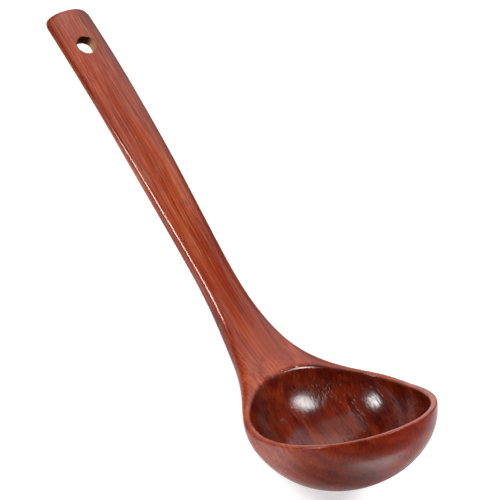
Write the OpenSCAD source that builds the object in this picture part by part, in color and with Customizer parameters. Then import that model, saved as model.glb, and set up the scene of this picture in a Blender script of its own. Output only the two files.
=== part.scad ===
// Carved wooden kitchen ladle: a deep round bowl that flares into a flat handle with a
// hanging hole. It lies at rest on the plane z = 0, on the underside of its bowl and neck.
// All lengths are in millimetres. The spine is a curve that runs along the middle of the top
// face, from the tip of the rim, over the bowl's mouth and up the handle. Stations are measured
// along it from the bowl's widest point, negative towards the tip.

/* [Bowl] */
// Outer width of the bowl
bowl_w = 85; // [70:1:110]
// Length of the bowl's mouth from its widest point to the outer edge of the tip
bowl_front = 42.5; // [34:0.5:56]
// Depth of the bowl, rim to underside
bowl_depth = 34.5; // [26:0.5:45]
// Width of the rim at the sides and at the tip
rim_wall = 3.6; // [2.5:0.1:6]
// Thickness of the bowl's floor
floor_wall = 4; // [3:0.5:7]
// Station where the mouth ends at the root of the neck
mouth_back = 44; // [38:1:48]

/* [Handle] */
// Length along the spine from the bowl's widest point to the end of the handle
handle_run = 250; // [200:5:300]
// Width of the handle near its end
handle_w = 24; // [18:0.5:32]
// Narrowest width of the handle, above the neck
waist_w = 19; // [15:0.2:26]
// Thickness of the handle near its end
handle_t = 6.4; // [5:0.2:12]
// Thickness of the handle above the neck
waist_t = 8.6; // [6:0.2:14]
// Corner radius of the handle's end
end_r = 5.5; // [2:0.5:10]

/* [Hanging hole] */
// Diameter of the hole
hole_d = 9.6; // [6:0.2:12]
// Distance from the middle of the hole to the end of the handle
hole_inset = 21.5; // [14:0.5:40]

/* [Rest] */
// Angle between the rim plane and the table when the ladle lies down
rest_tilt = 45; // [30:0.5:60]

/* [Hidden] */
wood_bowl = [0.55, 0.25, 0.15];
wood_handle = [0.62, 0.32, 0.22];

// Station of the plane where the bowl's section of the billet meets the handle's section
split = 76;

// Number of points in each ring around the spine
ring_n = 48;

// Slope of the spine in degrees above the rim plane at round stations
SLOPE = [[-54, 0], [-27, -2], [0, 0], [12, 5.5], [23, 14], [34, 24], [45, 32.5], [57, 39.5], [71, 45.5],
         [94, 50.5], [125, 52], [170, 51], [handle_run, 45]];

// Half-width behind the widest point
HALF_W = [[0, bowl_w / 2], [7, bowl_w / 2], [14, 0.985 * bowl_w / 2], [20, 0.938 * bowl_w / 2],
          [27, 0.84 * bowl_w / 2], [33, 0.738 * bowl_w / 2], [39, 0.63 * bowl_w / 2], [45, 0.53 * bowl_w / 2],
          [51, 0.448 * bowl_w / 2], [57, 16.3], [64, 14.1], [76, 11.5], [88, 10], [100, waist_w / 2],
          [112, waist_w / 2 + 0.1], [130, 10.1], [156, 10.9], [180, 11.5], [204, handle_w / 2 - 0.1],
          [handle_run, handle_w / 2]];

// Depth at right angles to the spine behind the widest point
DEPTH = [[0, bowl_depth], [7, 0.965 * bowl_depth], [14, 0.864 * bowl_depth], [20, 0.76 * bowl_depth],
         [27, 0.624 * bowl_depth], [33, 0.51 * bowl_depth], [39, 0.418 * bowl_depth], [45, 12.4], [51, 11.5],
         [62, 10.8], [76, 10.1], [88, 9.3], [100, waist_t], [125, 7.8], [170, 6.9], [204, handle_t],
         [handle_run, handle_t - 0.2]];

// Smooth curve through a table of round values
function rise(t, i) = (t[i + 1][1] - t[i][1]) / (t[i + 1][0] - t[i][0]);
function grad(t, i) =
    i == 0 ? 0 :
    i == len(t) - 1 ? rise(t, i - 1) :
    let (g = t[i][0] - t[i - 1][0], h = t[i + 1][0] - t[i][0])
    (h * rise(t, i - 1) + g * rise(t, i)) / (g + h);
function slot(t, s, i = 0) = i >= len(t) - 2 || s < t[i + 1][0] ? i : slot(t, s, i + 1);
function curve(t, s) =
    let (i = slot(t, s), h = t[i + 1][0] - t[i][0], u = max(0, min(1, (s - t[i][0]) / h)))
    t[i][1] * (2 * u * u * u - 3 * u * u + 1) + t[i + 1][1] * (3 * u * u - 2 * u * u * u)
    + h * grad(t, i) * (u * u * u - 2 * u * u + u) + h * grad(t, i + 1) * (u * u * u - u * u);
function ease(x) = let (u = max(0, min(1, x))) u * u * (3 - 2 * u);

// The spine, summed in steps of 1 mm each way from the widest point
BACK = [for (k = 0, x = 0, z = 0; k <= handle_run + 4;
             x = x - cos(curve(SLOPE, k + 0.5)), z = z + sin(curve(SLOPE, k + 0.5)), k = k + 1) [x, z]];
FRONT = [for (k = 0, x = 0, z = 0; k <= bowl_front + 4;
              x = x + cos(curve(SLOPE, -k - 0.5)), z = z - sin(curve(SLOPE, -k - 0.5)), k = k + 1) [x, z]];
function spine(s) =
    let (t = s < 0 ? FRONT : BACK, a = abs(s), k = min(floor(a), len(t) - 2))
    t[k] + (t[k + 1] - t[k]) * (a - k);

// Half-width and depth of the outside at a station
function half_w(s) =
    let (w = s < 0 ? bowl_w / 2 * pow(max(0, 1 - pow(-s / bowl_front, 1.9)), 1 / 1.9) : curve(HALF_W, s),
         e = s - (handle_run - end_r))
    e > 0 ? w - end_r + sqrt(max(0, end_r * end_r - e * e)) : w;
function depth(s) =
    s < 0 ? bowl_depth * pow(max(0, 1 - pow(-s / bowl_front, 1.97)), 1 / 1.97) : curve(DEPTH, s);

// A point of the ladle with its rim level: s along the spine, y across, n up from the top face
function at(s, y, n) =
    let (p = spine(s), a = curve(SLOPE, s))
    [p[0] + n * sin(a), y, p[1] + n * cos(a)];

// A point of the ladle as it lies on the table
function tip(p) = [p[0] * cos(rest_tilt) - p[2] * sin(rest_tilt), p[1],
                   p[0] * sin(rest_tilt) + p[2] * cos(rest_tilt)];

// Outer ring at a station: a flat-topped oval over the bowl, a soft rectangle up the handle
function ring(s) =
    let (k = ease((s - 20) / 56), w = max(half_w(s), 0.02), d = max(depth(s), 0.02),
         c = 0.045 * (1 - k) + 0.5 * k, e = 2 / (2 + k))
    [for (j = [0 : ring_n - 1])
        let (a = 360 * (j + 0.5) / ring_n, q = pow(abs(sin(a)), e),
             y = w * sign(cos(a)) * pow(abs(cos(a)), e))
        tip(at(s, y, a < 180 ? -c * d + c * d * q : -c * d - (1 - c) * d * q))];

// Hollow of the bowl at a station: an oval below the rim, and clear above it
mouth_front = bowl_front - rim_wall;
mouth_mid = 3;
function hollow(s) =
    let (u = s < mouth_mid ? (mouth_mid - s) / (mouth_mid + mouth_front) : (s - mouth_mid) / (mouth_back - mouth_mid),
         w = (bowl_w / 2 - rim_wall) * pow(max(0.0004, 1 - pow(u, 2.1)), 1 / 2.1),
         d = (bowl_depth - floor_wall) * (s < mouth_mid ? pow(max(0.0004, 1 - pow(u, 2)), 0.5) :
                                                          pow(max(0.0004, 1 - pow(u, 1.3)), 0.83)))
    [for (j = [0 : ring_n - 1])
        let (a = 360 * (j + 0.5) / ring_n, q = sin(a))
        tip(at(s, w * cos(a), a < 180 ? 7 * pow(q, 0.3) : d * q))];

// Rings joined into one closed solid
module skin(rings) {
    m = len(rings[0]);
    n = len(rings);
    mid0 = [for (k = [0 : 2]) (rings[0][0][k] + rings[0][m / 2][k]) / 2];
    mid1 = [for (k = [0 : 2]) (rings[n - 1][0][k] + rings[n - 1][m / 2][k]) / 2];
    polyhedron(
        points = concat([for (r = rings) for (p = r) p], [mid0, mid1]),
        faces = concat(
            [for (i = [0 : n - 2]) for (j = [0 : m - 1]) let (b = (j + 1) % m) [i * m + j, i * m + b, (i + 1) * m + b]],
            [for (i = [0 : n - 2]) for (j = [0 : m - 1]) let (b = (j + 1) % m) [i * m + j, (i + 1) * m + b, (i + 1) * m + j]],
            [for (j = [0 : m - 1]) [n * m, (j + 1) % m, j]],
            [for (j = [0 : m - 1]) [n * m + 1, (n - 1) * m + j, (n - 1) * m + (j + 1) % m]]));
}

// Stations of the rings
FRONT_S = [for (a = [6 : 6 : 84]) -bowl_front * cos(a)];
BACK_S = [for (s = [0 : 4 : split - 1]) s];
HANDLE_S = concat([for (s = [split : 6 : handle_run - end_r - 1]) s],
                  [for (a = [0 : 15 : 75]) handle_run - end_r + end_r * sin(a)],
                  [handle_run - 0.02]);
HOLLOW_S = [for (a = [2 : 7.333 : 178]) mouth_mid - (a < 90 ? mouth_mid + mouth_front : mouth_back - mouth_mid) * cos(a)];

BOWL_R = [for (s = concat(FRONT_S, BACK_S, [split])) ring(s)];
HANDLE_R = [for (s = HANDLE_S) ring(s)];

// Middle of the box and the height of the table under the lying ladle
ALL = concat([for (r = BOWL_R) for (p = r) p], [for (r = HANDLE_R) for (p = r) p]);
home = [-(min([for (p = ALL) p[0]]) + max([for (p = ALL) p[0]])) / 2, 0, -min([for (p = ALL) p[2]])];

// Middle of the hanging hole, and the slope of the spine there
hole_s = handle_run - hole_inset;
hole_mid = tip(at(hole_s, 0, -depth(hole_s) / 2));
hole_lean = curve(SLOPE, hole_s) - rest_tilt;

// Deep cup with a thin rounded rim, and the flare that carries it into the handle
module bowl() {
    color(wood_bowl)
    translate(home)
    difference() {
        skin(BOWL_R);
        skin([for (s = HOLLOW_S) hollow(s)]);
    }
}

// Flat handle that widens and thins towards its rounded end, with the hanging hole
module handle() {
    color(wood_handle)
    translate(home)
    difference() {
        skin(HANDLE_R);
        translate(hole_mid) rotate([0, hole_lean, 0])
            cylinder(h = 30, d = hole_d, center = true, $fn = 96);
    }
}

bowl();
handle();
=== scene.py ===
import bmesh
import bpy
from mathutils import Matrix, Vector

import math
import numpy as np


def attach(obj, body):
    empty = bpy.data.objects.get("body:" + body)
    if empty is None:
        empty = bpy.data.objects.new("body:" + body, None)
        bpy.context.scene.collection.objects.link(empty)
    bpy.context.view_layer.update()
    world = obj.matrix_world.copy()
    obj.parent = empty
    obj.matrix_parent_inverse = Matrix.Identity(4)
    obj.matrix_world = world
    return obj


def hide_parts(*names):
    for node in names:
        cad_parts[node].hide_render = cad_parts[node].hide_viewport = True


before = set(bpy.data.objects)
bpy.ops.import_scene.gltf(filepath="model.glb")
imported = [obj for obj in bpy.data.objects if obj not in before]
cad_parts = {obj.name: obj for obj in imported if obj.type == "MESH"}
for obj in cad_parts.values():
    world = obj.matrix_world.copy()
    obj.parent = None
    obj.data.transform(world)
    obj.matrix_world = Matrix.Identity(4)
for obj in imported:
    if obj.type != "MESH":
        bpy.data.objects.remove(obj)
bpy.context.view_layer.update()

# ---------------------------------------------------------------------------
# Shape of the ladle. Lengths in millimetres here, the same round values as the
# CAD part: a spine along the top face, half-widths and depths along it.
# ---------------------------------------------------------------------------
BOWL_W, BOWL_FRONT, BOWL_DEPTH = 85.0, 42.5, 34.5
RIM_WALL, FLOOR_WALL, MOUTH_BACK, MOUTH_MID, DEEPEST = 3.6, 4.5, 44.0, 3.0, -4.0
RUN, END_R, SPLIT = 251.4, 6.5, 76.0
HOLE_R, HOLE_INSET = 4.6, 21.8
TILT = math.radians(45.0)
HOME = np.array([102.024, 0, 35.5258])

SLOPE = [(-54, 0), (-27, -2), (0, 0), (12, 5.5), (23, 14), (34, 24), (45, 32.5), (57, 39.5),
         (71, 45.5), (94, 50.5), (125, 52), (170, 51), (250, 45)]
HALF_W = [(0, 42.5), (7, 42.5), (14, 41.86), (20, 39.87), (27, 35.7), (33, 31.37), (39, 26.78),
          (45, 22.53), (51, 19.04), (57, 16.3), (64, 14.1), (76, 11.5), (88, 10.0), (100, 9.5),
          (112, 9.6), (130, 10.1), (156, 10.9), (180, 11.5), (204, 11.9), (250, 12.0)]
DEPTH = [(0, 34.5), (7, 33.29), (14, 29.81), (20, 26.22), (27, 21.53), (33, 17.6), (39, 14.42),
         (45, 12.4), (51, 11.5), (62, 10.8), (76, 10.1), (88, 9.3), (100, 8.6), (125, 7.8),
         (170, 6.9), (204, 6.4), (250, 6.2)]


def smooth_table(table, lo, hi, step=0.25, sigma=2.0, flat=True):
    """A table of round values as a smooth curve: parabolic slopes, then a short blur."""
    t = np.array(table, float)
    x = np.arange(lo, hi + step / 2, step)
    xk, yk = t[:, 0], t[:, 1]
    h = np.diff(xk)
    d = np.diff(yk) / h
    m = np.zeros(len(xk))
    m[-1] = d[-1]
    m[1:-1] = (h[1:] * d[:-1] + h[:-1] * d[1:]) / (h[:-1] + h[1:])
    xc = np.clip(x, xk[0], xk[-1])
    i = np.clip(np.searchsorted(xk, xc, side="right") - 1, 0, len(xk) - 2)
    u = (xc - xk[i]) / h[i]
    y = (yk[i] * (2 * u**3 - 3 * u**2 + 1) + yk[i + 1] * (3 * u**2 - 2 * u**3)
         + h[i] * m[i] * (u**3 - 2 * u**2 + u) + h[i] * m[i + 1] * (u**3 - u**2))
    r = int(4 * sigma / step)
    k = np.exp(-0.5 * (np.arange(-r, r + 1) * step / sigma) ** 2)
    k /= k.sum()
    yp = np.r_[np.full(r, y[0]), y, np.full(r, y[-1])]
    for _ in range(1):
        y = np.convolve(yp, k, mode="valid")
    return x, y


# spine
S_X, TH = smooth_table(SLOPE, -70, 270, sigma=4.0)
TH = np.radians(TH)
_k0 = int(round(70 / 0.25))
SP_X = np.r_[0, np.cumsum(-(np.cos(TH)[1:] + np.cos(TH)[:-1]) / 2 * 0.25)]
SP_Z = np.r_[0, np.cumsum((np.sin(TH)[1:] + np.sin(TH)[:-1]) / 2 * 0.25)]
SP_X -= SP_X[_k0]
SP_Z -= SP_Z[_k0]
_wx, _wy = smooth_table(HALF_W, 0, 270, sigma=3.0)
_dx, _dy = smooth_table([(-14, 29.81), (-7, 33.29)] + DEPTH, -14, 270, sigma=2.0)
_dy = np.where(_dx < 0, 34.5, _dy)
_dy = np.minimum(_dy, 34.5)


def ease(x):
    u = np.clip(x, 0, 1)
    return u * u * (3 - 2 * u)


def smax(a, b, k):
    h = np.maximum(k - np.abs(a - b), 0) / k
    return np.maximum(a, b) + h * h * k * 0.25


def half_w(s):
    w = np.interp(s, _wx, _wy)
    e = np.maximum(s - (RUN - END_R), 0)
    return np.where(e > 0, w - END_R + np.sqrt(np.maximum(END_R**2 - e * e, 0.25)), w)


def depth(s):
    return np.interp(s, _dx, _dy)


def outer_r(s, y, n, closed_top=True):
    """Level of a point against the outside: 1 on it, less inside."""
    P = 1.93
    k = ease((s - 20) / 56)
    c = 0.045 * (1 - k) + 0.5 * k
    e = 2 + 1.15 * k - 0.95 * ease((s - 155) / 45)
    u = np.clip(-s / BOWL_FRONT, 0, None)
    g = np.maximum(1 - np.clip(u, 0, 1) ** P, 0) ** (1 / P)
    d = depth(np.maximum(s, 0))
    w = half_w(np.maximum(s, 0))
    m = n + c * d * g
    up = m > 0
    v = np.where(up, m / (c * d) if closed_top else 0.0, -m / ((1 - c) * d))
    r2 = (np.abs(y / w) ** e + np.abs(v) ** e) ** (1 / e)
    return np.where(u > 0, (np.maximum(r2, 1e-9) ** P + u**P) ** (1 / P), r2)


def hollow_r(s, y, n):
    """Level of a point against the hollow: 1 on it, less inside. It is an ellipse
    across the middle and the front, and a shallower ramp towards the handle."""
    up = np.where(s < MOUTH_MID, (MOUTH_MID - s) / (MOUTH_MID + BOWL_FRONT - RIM_WALL),
                  (s - MOUTH_MID) / (MOUTH_BACK - MOUTH_MID))
    plan = np.where(up < 1, (1 - np.minimum(up, 1) ** 2.1) ** (2 / 2.1), -2 * (up - 1))
    ud = np.where(s < DEEPEST, (DEEPEST - s) / (DEEPEST + BOWL_FRONT - RIM_WALL),
                  (s - DEEPEST) / (MOUTH_BACK - DEEPEST))
    deep = np.where(s < DEEPEST, np.sqrt(np.clip(1 - ud**2, 1e-6, None)), np.clip(1 - ud**2, 1e-3, None))
    m = 2 - ease((s - 8) / 36)
    v = np.maximum(-n, 0) / (BOWL_DEPTH - FLOOR_WALL)
    across = y / (BOWL_W / 2 - RIM_WALL)
    # plan and deep fall to nothing together at both ends
    ratio = np.clip(plan, 1e-6, None) / deep**m
    return 1 + across**2 + v**m * np.where(up < 1, np.clip(ratio, 0.2, 3.0), 1.0) - plan


def as_distance(fun, s, y, n, h=0.12):
    r = fun(s, y, n)
    gs = (fun(s + h, y, n) - fun(s - h, y, n)) / (2 * h)
    gy = (fun(s, y + h, n) - fun(s, y - h, n)) / (2 * h)
    gn = (fun(s, y, n + h) - fun(s, y, n - h)) / (2 * h)
    return (r - 1) / np.maximum(np.sqrt(gs**2 + gy**2 + gn**2), 1e-3)


HOLE_S = RUN - HOLE_INSET


def to_spine(px, pz):
    """Station along the spine and height off it of points in the ladle's own plane."""
    sub = slice(0, None, 16)
    cx, cz, cs = SP_X[sub], SP_Z[sub], S_X[sub]
    s = np.empty(len(px))
    for a in range(0, len(px), 20000):
        b = slice(a, a + 20000)
        d2 = (px[b, None] - cx[None]) ** 2 + (pz[b, None] - cz[None]) ** 2
        s[b] = cs[np.argmin(d2, 1)]
    for _ in range(4):
        x = np.interp(s, S_X, SP_X)
        z = np.interp(s, S_X, SP_Z)
        t = np.interp(s, S_X, TH)
        s = np.clip(s + (px - x) * -np.cos(t) + (pz - z) * np.sin(t), -69, 269)
    x = np.interp(s, S_X, SP_X)
    z = np.interp(s, S_X, SP_Z)
    t = np.interp(s, S_X, TH)
    n = (px - x) * np.sin(t) + (pz - z) * np.cos(t)
    along = (px - x) * -np.cos(t) + (pz - z) * np.sin(t)
    return s + along, n


def to_ladle(p):
    q = p - HOME
    c, s = math.cos(TILT), math.sin(TILT)
    return q[:, 0] * c + q[:, 2] * s, q[:, 1], -q[:, 0] * s + q[:, 2] * c


# the hole's axis, straight through the handle
_hx, _hz, _ht = (float(np.interp(HOLE_S, S_X, a)) for a in (SP_X, SP_Z, TH))


def body_f(lx, y, lz, s, n):
    """Signed distance-like value of the whole carved body, in millimetres."""
    d = as_distance(outer_r, s, y, n)
    d = np.clip(d, -12, 12)
    near = (s < 60)
    if near.any():
        sn, yn, nn = s[near], y[near], n[near]
        dh = as_distance(hollow_r, sn, yn, nn)
        d[near] = smax(d[near], -dh, 1.7)
    far = ~near
    if far.any():
        sf, yf = s[far], y[far]
        v = smax(d[far], sf - RUN, 3.0)
        ax = (lx[far] - _hx) * math.cos(_ht) - (lz[far] - _hz) * math.sin(_ht)
        v = smax(v, HOLE_R - np.sqrt(ax**2 + yf**2), 0.35)
        d[far] = v
    return d


def f_of(p):
    lx, y, lz = to_ladle(p)
    s, n = to_spine(lx, lz)
    return body_f(lx, y, lz, s, n), s, n


def normals_of(p, h=0.08):
    g = np.empty_like(p)
    for k in range(3):
        e = np.zeros(3)
        e[k] = h
        g[:, k] = (f_of(p + e)[0] - f_of(p - e)[0]) / (2 * h)
    return g


def surface_nets(step):
    """A closed mesh of the body from its level function, on a regular grid."""
    xs = np.arange(-142.0, 142.5, step)
    ys = (np.arange(0, int(88 / step)) - (int(88 / step) - 1) / 2) * step
    zs = np.arange(-2.0, 70.5, step)
    nx, ny, nz = len(xs), len(ys), len(zs)
    gx, gz = np.meshgrid(xs, zs, indexing="ij")
    c, sn = math.cos(TILT), math.sin(TILT)
    qx, qz = gx.ravel() - HOME[0], gz.ravel() - HOME[2]
    lx, lz = qx * c + qz * sn, -qx * sn + qz * c
    s2, n2 = to_spine(lx, lz)
    ok = (s2 > -46) & (s2 < 253) & (n2 < 3) & (n2 > -depth(np.maximum(s2, 0)) - 3)
    F = np.full((nx * nz, ny), 5.0, np.float32)
    idx = np.where(ok)[0]
    for a in range(0, len(idx), 4000):
        j = idx[a:a + 4000]
        S = np.repeat(s2[j], ny)
        N = np.repeat(n2[j], ny)
        LX = np.repeat(lx[j], ny)
        LZ = np.repeat(lz[j], ny)
        Y = np.tile(ys, len(j))
        m = np.abs(Y) < half_w(np.maximum(S, 0)) + 3
        v = np.full(len(S), 5.0)
        v[m] = body_f(LX[m], Y[m], LZ[m], S[m], N[m])
        F[j] = v.reshape(len(j), ny)
    F = F.reshape(nx, nz, ny).transpose(0, 2, 1)
    ins = F < 0
    corners = [(i, j, k) for i in (0, 1) for j in (0, 1) for k in (0, 1)]
    edges = [(a, b) for a in range(8) for b in range(a + 1, 8)
             if sum(abs(corners[a][q] - corners[b][q]) for q in range(3)) == 1]

    def at(arr, o):
        return arr[o[0]:nx - 1 + o[0], o[1]:ny - 1 + o[1], o[2]:nz - 1 + o[2]]
    tot = sum(at(ins, o).astype(np.int8) for o in corners)
    cell = (tot > 0) & (tot < 8)
    ci = np.argwhere(cell)
    idm = -np.ones(cell.shape, np.int64)
    idm[cell] = np.arange(len(ci))
    acc = np.zeros((len(ci), 3))
    cnt = np.zeros(len(ci))
    vals = [F[ci[:, 0] + o[0], ci[:, 1] + o[1], ci[:, 2] + o[2]] for o in corners]
    for a, b in edges:
        va, vb = vals[a], vals[b]
        m = (va < 0) != (vb < 0)
        t = (va / np.where(m, va - vb, 1))[:, None]
        pa = np.array(corners[a], float)
        pb = np.array(corners[b], float)
        acc += np.where(m[:, None], pa * (1 - t) + pb * t, 0)
        cnt += m
    v = (ci + acc / cnt[:, None]) * step + np.array([xs[0], ys[0], zs[0]])
    quads = []
    for ax in range(3):
        u, w = (ax + 1) % 3, (ax + 2) % 3
        sl0 = [slice(1, None)] * 3
        sl1 = [slice(1, None)] * 3
        sl0[ax] = slice(0, -1)
        a0 = ins[tuple(slice(0, -1) if q == ax else slice(1, -1) for q in range(3))]
        a1 = ins[tuple(slice(1, None) if q == ax else slice(1, -1) for q in range(3))]
        e = np.argwhere(a0 != a1)
        flip = a0[tuple(e.T)]
        base = e.copy()
        for q in range(3):
            if q != ax:
                base[:, q] += 1
        du = np.zeros(3, int)
        du[u] = 1
        dw = np.zeros(3, int)
        dw[w] = 1
        ids = [idm[tuple((base - o).T)] for o in (du + dw, dw, 0 * du, du)]
        q4 = np.stack(ids, 1)
        q4[~flip] = q4[~flip][:, ::-1]
        quads.append(q4)
    return v, np.vstack(quads)


def carve(step, rounds=3):
    v, q = surface_nets(step)
    e = np.vstack([q[:, [0, 1]], q[:, [1, 2]], q[:, [2, 3]], q[:, [3, 0]]])
    deg = np.bincount(e.ravel(), minlength=len(v))[:, None]
    for it in range(rounds):
        f = f_of(v)[0]
        g = normals_of(v)
        g2 = np.maximum((g**2).sum(1), 1e-6)
        v = v - g * np.clip(f / g2, -0.6, 0.6)[:, None]
        if it < rounds - 1:
            nb = np.zeros_like(v)
            np.add.at(nb, e[:, 0], v[e[:, 1]])
            np.add.at(nb, e[:, 1], v[e[:, 0]])
            lap = nb / deg - v
            nn = g / np.sqrt(g2)[:, None]
            lap -= nn * (lap * nn).sum(1)[:, None]
            v = v + 0.6 * lap
    f = f_of(v)[0]
    g = normals_of(v)
    g2 = np.maximum((g**2).sum(1), 1e-6)
    v = v - g * np.clip(f / g2, -0.3, 0.3)[:, None]
    g = normals_of(v)
    return v, q, g / np.linalg.norm(g, axis=1, keepdims=True)


# ---------------------------------------------------------------------------
# The two pieces: one carved body, parted where the CAD parts it
# ---------------------------------------------------------------------------
def spine_point(s):
    """A point of the spine in the shared frame, millimetres, and the way the spine runs there."""
    x, z, t = (float(np.interp(s, S_X, a)) for a in (SP_X, SP_Z, TH))
    c, sn = math.cos(TILT), math.sin(TILT)
    point = HOME + np.array([x * c - z * sn, 0.0, x * sn + z * c])
    return point, np.array([-math.cos(t - TILT), 0.0, math.sin(t - TILT)])


def wood_places(p):
    """Where each point lies in the billet, in centimetres with the fibres along x, and how
    far it is inside the hollow, 0 to 1."""
    c, sn = math.cos(TILT), math.sin(TILT)
    m = S_X > 56
    cx = (SP_X * c - SP_Z * sn)[m] + HOME[0]
    cz = (SP_X * sn + SP_Z * c)[m] + HOME[2]
    zc = np.interp(p[:, 0], cx[::-1], cz[::-1])
    grain = np.stack([p[:, 0], p[:, 1], p[:, 2] - zc], 1) / 10
    lx, y, lz = to_ladle(p)
    s, n = to_spine(lx, lz)
    near = (s < 60) & (n < 1.5)
    inside, rim_painted_highlight = np.zeros(len(p)), np.zeros(len(p))
    d = as_distance(hollow_r, s[near], y[near], n[near])
    inside[near] = 1 - ease((d - 0.1) / 1.0)
    # a band along the rim's crest, where a highlight is painted into the colour
    rim_painted_highlight[near] = np.clip(1 - np.abs(d - 0.9) / 1.5, 0, 1) * ease((n[near] + 2.2) / 1.6) * ease((42 - s[near]) / 30)
    return grain, inside, rim_painted_highlight


def smooth_piece(name, verts, quads, front):
    """One side of the carved body as its own closed mesh, with the body's own smooth normals."""
    cut, way = spine_point(SPLIT)
    me = bpy.data.meshes.new(name)
    me.from_pydata((verts / 1000).tolist(), [], quads.tolist())
    bm = bmesh.new()
    bm.from_mesh(me)
    got = bmesh.ops.bisect_plane(
        bm, geom=bm.verts[:] + bm.edges[:] + bm.faces[:], dist=1e-7,
        plane_co=Vector(cut / 1000), plane_no=Vector(way),
        clear_outer=front, clear_inner=not front)
    ring = [e for e in got["geom_cut"] if isinstance(e, bmesh.types.BMEdge)]
    caps = set(bmesh.ops.edgeloop_fill(bm, edges=ring)["faces"])
    bmesh.ops.recalc_face_normals(bm, faces=bm.faces[:])
    cap_ids = [f.index for f in caps if f.is_valid]
    bm.faces.index_update()
    cap_ids = {f.index for f in caps if f.is_valid}
    bm.to_mesh(me)
    bm.free()
    co = np.zeros(len(me.vertices) * 3)
    me.vertices.foreach_get("co", co)
    g = normals_of(co.reshape(-1, 3) * 1000)
    g /= np.linalg.norm(g, axis=1, keepdims=True)
    corner = np.zeros(len(me.loops), np.int64)
    me.loops.foreach_get("vertex_index", corner)
    nrm = g[corner]
    for p in me.polygons:
        p.use_smooth = True
        if p.index in cap_ids:
            nrm[p.loop_start:p.loop_start + p.loop_total] = way if front else -way
    me.normals_split_custom_set([tuple(n) for n in nrm.tolist()])
    grain, inside, rim_painted_highlight = wood_places(co.reshape(-1, 3) * 1000)
    me.attributes.new("grain", "FLOAT_VECTOR", "POINT").data.foreach_set("vector", grain.ravel().astype(np.float32))
    me.attributes.new("inside", "FLOAT", "POINT").data.foreach_set("value", inside.astype(np.float32))
    me.attributes.new("rim_painted_highlight", "FLOAT", "POINT").data.foreach_set("value", rim_painted_highlight.astype(np.float32))
    ob = bpy.data.objects.new(name, me)
    bpy.context.scene.collection.objects.link(ob)
    return ob


# ---------------------------------------------------------------------------
# Wood
# ---------------------------------------------------------------------------
class Net:
    def __init__(self, mat):
        mat.use_nodes = True
        self.t = mat.node_tree
        self.t.nodes.clear()

    def add(self, kind, **kw):
        n = self.t.nodes.new(kind)
        for k, v in kw.items():
            setattr(n, k, v)
        return n

    def put(self, socket, value):
        if isinstance(value, bpy.types.NodeSocket):
            self.t.links.new(value, socket)
        else:
            socket.default_value = value

    def math(self, op, a, b=0.0, c=0.0, clamp=False):
        n = self.add("ShaderNodeMath", operation=op, use_clamp=clamp)
        self.put(n.inputs[0], a)
        self.put(n.inputs[1], b)
        self.put(n.inputs[2], c)
        return n.outputs[0]

    def vec(self, op, a, b=(0.0, 0.0, 0.0)):
        n = self.add("ShaderNodeVectorMath", operation=op)
        self.put(n.inputs[0], a)
        self.put(n.inputs[1], b)
        return n.outputs["Value"] if op in ("LENGTH", "DOT_PRODUCT", "DISTANCE") else n.outputs["Vector"]

    def noise(self, vector, detail=2.0, rough=0.5, color=False):
        n = self.add("ShaderNodeTexNoise", noise_dimensions="3D")
        self.put(n.inputs["Vector"], vector)
        self.put(n.inputs["Scale"], 1.0)
        self.put(n.inputs["Detail"], detail)
        self.put(n.inputs["Roughness"], rough)
        return n.outputs[1 if color else 0]

    def map(self, value, lo, hi, a=0.0, b=1.0, smooth=True):
        n = self.add("ShaderNodeMapRange", interpolation_type="SMOOTHSTEP" if smooth else "LINEAR")
        for i, v in enumerate((value, lo, hi, a, b)):
            self.put(n.inputs[i], v)
        return n.outputs[0]

    def ramp(self, fac, stops):
        n = self.add("ShaderNodeValToRGB")
        r = n.color_ramp
        while len(r.elements) < len(stops):
            r.elements.new(0.5)
        for e, (pos, col) in zip(r.elements, stops):
            e.position = pos
            e.color = (*col, 1.0)
        self.put(n.inputs[0], fac)
        return n.outputs[0]

    def mix(self, fac, a, b, how="MIX"):
        n = self.add("ShaderNodeMix", data_type="RGBA", blend_type=how)
        self.put(n.inputs[0], fac)
        for i, v in ((6, a), (7, b)):
            self.put(n.inputs[i], (*v, 1.0) if isinstance(v, tuple) else v)
        return n.outputs[2]


HOLE_AT = spine_point(HOLE_S)[0] / 1000


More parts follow.
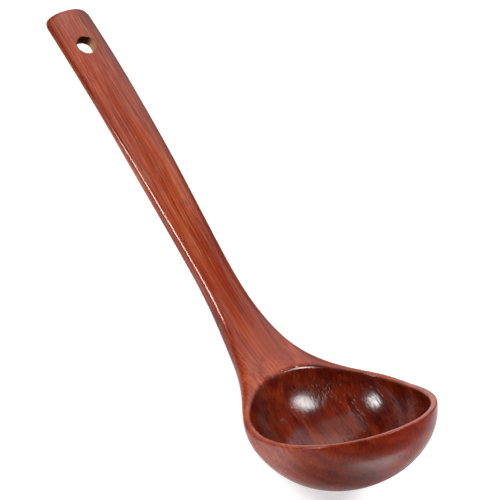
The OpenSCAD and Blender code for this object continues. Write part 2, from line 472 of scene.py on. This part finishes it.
def lacquered_wood(name):
    """Reddish wood under clear lacquer. The grain runs along the handle through both pieces."""
    mat = bpy.data.materials.new(name)
    g = Net(mat)
    cm = g.add("ShaderNodeAttribute", attribute_name="grain").outputs["Vector"]
    inside = g.add("ShaderNodeAttribute", attribute_name="inside").outputs["Fac"]
    rim_painted_highlight = g.add("ShaderNodeAttribute", attribute_name="rim_painted_highlight").outputs["Fac"]
    co = g.add("ShaderNodeTexCoord").outputs["Object"]
    sep0 = g.add("ShaderNodeSeparateXYZ")
    g.put(sep0.inputs[0], g.vec("MULTIPLY", co, (100.0, 100.0, 100.0)))
    X, Y, Z = sep0.outputs

    # slow wander of the fibres
    wob = g.vec("SUBTRACT", g.noise(g.vec("MULTIPLY", cm, (0.14, 0.4, 0.4)), 1.0, 0.5, color=True), (0.5, 0.5, 0.5))
    p = g.vec("ADD", cm, g.vec("MULTIPLY", wob, (0.0, 0.45, 0.45)))
    sep = g.add("ShaderNodeSeparateXYZ")
    g.put(sep.inputs[0], p)

    # growth rings: long cylinders round a heart below and beside the billet
    ry = g.math("ADD", g.math("MULTIPLY", sep.outputs[0], 0.045), 2.6)
    rz = g.math("ADD", g.math("MULTIPLY", sep.outputs[0], -0.03), 6.2)
    dy = g.math("ADD", sep.outputs[1], ry)
    dz = g.math("ADD", sep.outputs[2], rz)
    rad = g.math("SQRT", g.math("ADD", g.math("MULTIPLY", dy, dy), g.math("MULTIPLY", dz, dz)))
    uneven = g.noise(g.vec("MULTIPLY", p, (0.05, 0.9, 0.9)), 1.0, 0.5)
    turn = g.math("ADD", g.math("MULTIPLY", rad, 1.55), g.math("MULTIPLY", uneven, 1.3))
    saw = g.math("FRACT", turn)
    ring = g.math("SUBTRACT", g.map(saw, 0.0, 0.75), g.map(saw, 0.80, 1.0))

    # fibres, fine fibres, pores, slow colour drift
    fibre = g.noise(g.vec("MULTIPLY", p, (0.13, 11.0, 4.5)), 2.0, 0.6)
    fine = g.noise(g.vec("MULTIPLY", p, (0.34, 20.0, 9.0)), 2.0, 0.6)
    pore = g.noise(g.vec("MULTIPLY", p, (2.2, 21.0, 10.0)), 1.0, 0.5)
    crowd = g.noise(g.vec("MULTIPLY", p, (0.45, 1.7, 1.7)), 2.0, 0.5)
    drift = g.noise(g.vec("MULTIPLY", p, (0.18, 0.75, 0.75)), 1.0, 0.5)
    pores = g.math("MULTIPLY", g.map(pore, 0.57, 0.68), g.map(crowd, 0.38, 0.60))

    q = g.vec("SUBTRACT", co, (HOME[0] / 1000, 0.0, HOME[2] / 1000))
    lx = g.vec("DOT_PRODUCT", q, (math.cos(TILT), 0.0, math.sin(TILT)))
    front = g.map(lx, -0.004, 0.026)
    calm = g.math("SUBTRACT", 1.0, g.math("MULTIPLY", g.math("MULTIPLY", front, g.math("SUBTRACT", 1.0, inside)), 0.6))
    fine = g.math("ADD", 0.5, g.math("MULTIPLY", g.math("SUBTRACT", fine, 0.5), calm))

    tone = g.math("ADD", 0.50, g.math("MULTIPLY", g.math("SUBTRACT", fibre, 0.5), 0.48))
    tone = g.math("ADD", tone, g.math("MULTIPLY", g.math("SUBTRACT", fine, 0.5), 0.90))
    tone = g.math("ADD", tone, g.math("MULTIPLY", g.math("SUBTRACT", ring, 0.5), -0.12))
    tone = g.math("ADD", tone, g.math("MULTIPLY", g.math("SUBTRACT", drift, 0.5), 0.55), clamp=True)

    color = g.ramp(tone, [(0.12, (0.0630, 0.0041, 0.0012)), (0.36, (0.1350, 0.0114, 0.0024)),
                          (0.50, (0.1950, 0.0207, 0.0042)), (0.66, (0.2460, 0.0354, 0.0084)),
                          (0.90, (0.3360, 0.0810, 0.0276))])

    # pale threads along the handle's faces
    thread = g.noise(g.vec("MULTIPLY", p, (0.50, 18.0, 8.0)), 1.0, 0.5)
    on_handle = g.map(X, 0.0, 5.0, 1.0, 0.25)
    color = g.mix(g.math("MULTIPLY", g.map(thread, 0.53, 0.68), g.math("MULTIPLY", on_handle, 0.42)), color, (0.270, 0.105, 0.056))
    color = g.mix(1.0, color, (0.84, 0.93, 0.98), how="MULTIPLY")

    # painted shade along the handle's far edge, and darker at the tip
    far = g.math("MULTIPLY", g.map(Y, 0.45, 0.95), on_handle)
    color = g.mix(far, color, g.mix(1.0, color, (0.74, 0.62, 0.66), how="MULTIPLY"))
    tip = g.map(X, -13.4, -10.4, 1.0, 0.0)
    color = g.mix(tip, color, g.mix(1.0, color, (0.84, 0.82, 0.90), how="MULTIPLY"))

    # the neck is the reddest stretch
    neck = g.math("MULTIPLY", g.map(X, -3.5, 0.5), g.map(X, 2.2, 4.6, 1.0, 0.0))
    color = g.mix(neck, color, g.mix(1.0, color, (0.80, 0.64, 0.55), how="MULTIPLY"))
    color = g.mix(g.math("MULTIPLY", pores, g.math("ADD", 0.45, g.math("MULTIPLY", inside, 0.45))), color, (0.034, 0.0028, 0.0014))

    # the bowl is darker than the handle
    color = g.mix(front, color, g.mix(1.0, color, (0.70, 0.50, 0.40), how="MULTIPLY"))
    # painted light: the outside of the bowl lighter and warmer towards +y, the side the light falls on
    outer_painted_light = g.math("MULTIPLY", g.math("MULTIPLY", front, g.math("SUBTRACT", 1.0, inside)), g.map(Y, -2.2, 0.6))
    color = g.mix(outer_painted_light, color, g.mix(1.0, color, (1.45, 1.05, 0.85), how="MULTIPLY"))
    # darker still inside the hollow: partly the wood's own colour, partly painted shade of the hollow
    color = g.mix(inside, color, g.mix(1.0, color, (0.48, 0.32, 0.25), how="MULTIPLY"))
    blotch = g.noise(g.vec("MULTIPLY", p, (0.55, 1.3, 1.3)), 2.0, 0.5)
    blotch = g.mix(g.map(blotch, 0.38, 0.62), (0.70, 0.62, 0.62), (1.14, 1.25, 1.25))
    color = g.mix(inside, color, g.mix(1.0, color, blotch, how="MULTIPLY"))
    # painted highlight: the rim's crest lightened towards pale pink
    color = g.mix(g.math("MULTIPLY", rim_painted_highlight, 0.28), color, (0.36, 0.135, 0.080))

    # raw wood where the hanging hole is bored, with painted shade on one side of its wall and painted light on the
    # other
    dxh = g.math("SUBTRACT", X, float(HOLE_AT[0] * 100))
    rh = g.math("SQRT", g.math("ADD", g.math("MULTIPLY", dxh, dxh), g.math("MULTIPLY", Y, Y)))
    raw = g.map(rh, 0.465, 0.500, 1.0, 0.0)
    raw = g.math("MULTIPLY", raw, g.map(X, -11.0, -10.9, 1.0, 0.0))
    hole_painted_light = g.map(g.math("ADD", g.math("MULTIPLY", Y, 1.0), g.math("MULTIPLY", dxh, 1.0)), -0.05, 0.42)
    bare = g.mix(g.math("MULTIPLY", hole_painted_light, g.map(fine, 0.25, 0.7, 0.65, 1.0)), (0.018, 0.006, 0.004), (0.28, 0.140, 0.070))
    color = g.mix(raw, color, bare)

    rough = g.map(fibre, 0.3, 0.7, 0.42, 0.60, smooth=False)
    height = g.math("SUBTRACT", g.math("MULTIPLY", fine, 0.35), pores)
    grain = g.add("ShaderNodeBump")
    g.put(grain.inputs["Strength"], 0.55)
    g.put(grain.inputs["Distance"], 0.00012)
    g.put(grain.inputs["Height"], height)
    skin = g.add("ShaderNodeBump")
    g.put(skin.inputs["Strength"], 0.55)
    g.put(skin.inputs["Distance"], 0.00008)
    g.put(skin.inputs["Height"], g.math("SUBTRACT", g.math("MULTIPLY", fine, 0.9), g.math("MULTIPLY", pores, 0.8)))

    sh = g.add("ShaderNodeBsdfPrincipled")
    g.put(sh.inputs["Base Color"], color)
    g.put(sh.inputs["Roughness"], rough)
    g.put(sh.inputs["Specular IOR Level"], 0.0)
    low = g.math("MULTIPLY", g.math("MULTIPLY", front, g.math("SUBTRACT", 1.0, inside)), g.map(Z, 4.8, 3.4, 0.0, 0.6))
    coat = g.math("MULTIPLY_ADD", raw, -0.55, 0.55)
    g.put(sh.inputs["Coat Weight"], g.math("MULTIPLY", coat, g.math("SUBTRACT", 1.0, low)))
    g.put(sh.inputs["Coat Roughness"], 0.15)
    g.put(sh.inputs["Coat IOR"], 1.46)
    g.put(sh.inputs["Normal"], grain.outputs[0])
    g.put(sh.inputs["Coat Normal"], skin.outputs[0])
    out = g.add("ShaderNodeOutputMaterial")
    g.put(out.inputs[0], sh.outputs[0])
    return mat


# ---------------------------------------------------------------------------
# Floor, lights, camera
# ---------------------------------------------------------------------------
def pale_floor():
    me = bpy.data.meshes.new("floor")
    bm = bmesh.new()
    bmesh.ops.create_circle(bm, cap_ends=True, segments=96, radius=6.0)
    bm.to_mesh(me)
    bm.free()
    ob = bpy.data.objects.new("floor", me)
    bpy.context.scene.collection.objects.link(ob)
    mat = bpy.data.materials.new("pale_floor")
    g = Net(mat)
    co = g.add("ShaderNodeTexCoord").outputs["Object"]
    # a pool of light on the floor, falling off to pale grey past it, and the soft
    # shadow in front of the bowl
    right = g.map(g.vec("DOT_PRODUCT", co, (0.586, 0.811, 0.0)), 0.170, 0.300)
    round_ = g.map(g.vec("DISTANCE", co, (0.08, -0.03, 0.0)), 0.25, 0.75)
    near = g.map(g.vec("DISTANCE", co, (0.174, -0.020, 0.0)), 0.010, 0.095, 1.0, 0.0)
    shade = g.map(g.vec("DISTANCE", co, (0.160, 0.050, 0.0)), 0.010, 0.080, 1.0, 0.0)
    near = g.math("MAXIMUM", near, shade)
    near = g.math("MULTIPLY", near, g.map(g.vec("DOT_PRODUCT", co, (0.929, -0.369, 0.0)), 0.1160, 0.1550, 0.0, 0.55))
    away = g.math("MAXIMUM", right, round_)
    tooth = g.noise(g.vec("MULTIPLY", co, (900.0, 900.0, 900.0)), 2.0, 0.5)
    sh = g.add("ShaderNodeBsdfPrincipled")
    pale = g.mix(tooth, (0.47, 0.47, 0.47), (0.49, 0.49, 0.49))
    g.put(sh.inputs["Base Color"], g.mix(near, g.mix(away, pale, (0.30, 0.30, 0.30)), (0.16, 0.16, 0.16)))
    g.put(sh.inputs["Roughness"], 0.9)
    g.put(sh.inputs["Specular IOR Level"], 0.1)
    g.put(sh.inputs["Emission Color"], (1.0, 1.0, 1.0, 1.0))
    # two hot spots of the same light, which the round underside mirrors
    spots = g.math("ADD", g.map(g.vec("DISTANCE", co, (0.245, 0.012, 0.0)), 0.015, 0.095, 4.4, 0.0),
                   g.map(g.vec("DISTANCE", co, (0.112, -0.080, 0.0)), 0.010, 0.045, 2.2, 0.0))
    glow = g.math("ADD", spots, g.map(away, 0.0, 1.0, FLOOR_GLOW, 0.16))
    g.put(sh.inputs["Emission Strength"], g.math("MULTIPLY", glow, g.math("SUBTRACT", 1.0, near)))
    out = g.add("ShaderNodeOutputMaterial")
    g.put(out.inputs[0], sh.outputs[0])
    me.materials.append(mat)
    return ob


def soft_light(name, az, el, wide, high, radiance, distance=1.2, aim=(0.06, 0.0, 0.02), color=(1, 1, 1), shape="RECTANGLE"):
    """A rectangular soft light seen from the ladle at that bearing, with its size in degrees."""
    a, e = math.radians(az), math.radians(el)
    d = Vector((math.cos(e) * math.cos(a), math.cos(e) * math.sin(a), math.sin(e)))
    w = 2 * distance * math.tan(math.radians(wide / 2))
    h = 2 * distance * math.tan(math.radians(high / 2))
    li = bpy.data.lights.new(name, "AREA")
    li.shape = shape
    li.size, li.size_y = w, h
    li.energy = radiance * math.pi * w * h * (math.pi / 4 if shape == "ELLIPSE" else 1)
    li.color = color
    ob = bpy.data.objects.new(name, li)
    bpy.context.scene.collection.objects.link(ob)
    ob.matrix_world = (Matrix.Translation(Vector(aim) + d * distance)
                       @ d.to_track_quat("Z", "Y").to_matrix().to_4x4())
    return ob


FLOOR_GLOW = 0.62
pale_floor()
soft_light("back_wall", 136, 33, 46, 40, 2.4, distance=1.4)
soft_light("side_wall", 172, 61, 40, 30, 1.8, distance=1.4)
soft_light("window_back", 57, 65, 13, 22, 44.0, shape="ELLIPSE")
soft_light("window_left", -115, 34, 17, 19, 46.0, distance=0.62, aim=(0.095, 0.032, 0.015), shape="ELLIPSE")

world = bpy.data.worlds.new("studio")
bpy.context.scene.world = world
w = Net(world)
wdir = w.add("ShaderNodeTexCoord").outputs["Generated"]
wsep = w.add("ShaderNodeSeparateXYZ")
w.put(wsep.inputs[0], wdir)
wback = w.math("ADD", w.math("MULTIPLY", wsep.outputs[0], -0.4), w.math("MULTIPLY", wsep.outputs[1], 0.9))
wlow = w.map(wsep.outputs[2], 0.05, 0.45, 1.0, 0.0)
wside = w.map(wback, -0.6, 0.6, 0.30, 0.60)
wl = w.math("ADD", w.math("MULTIPLY", wlow, wside), 0.08)
bg = w.add("ShaderNodeBackground")
w.put(bg.inputs[1], wl)
wo = w.add("ShaderNodeOutputWorld")
w.put(wo.inputs[0], bg.outputs[0])

cam = bpy.data.cameras.new("camera")
cam.sensor_width = 36.0
cam.lens = 251.47
cam.clip_start, cam.clip_end = 0.05, 30.0
cam_ob = bpy.data.objects.new("camera", cam)
bpy.context.scene.collection.objects.link(cam_ob)
R = ((0.5169, 0.79035, 0.32886), (-0.78419, 0.28311, 0.55218), (0.34332, -0.54331, 0.76612))
rot = Matrix(R).transposed()
cam_ob.matrix_world = Matrix.Translation((0.55841, -0.85796, 1.25343)) @ rot.to_4x4()
bpy.context.scene.camera = cam_ob
bpy.context.scene.view_settings.view_transform = "Standard"

# ---------------------------------------------------------------------------
verts, quads, _ = carve(0.8)
for name, front, node, slot in (("ladle_bowl", True, "bowl", "bowl_wood"), ("ladle_handle", False, "handle", "handle_wood")):
    ob = smooth_piece(name, verts, quads, front)
    ob.data.materials.append(lacquered_wood(slot))
    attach(ob, "root")
    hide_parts(node)
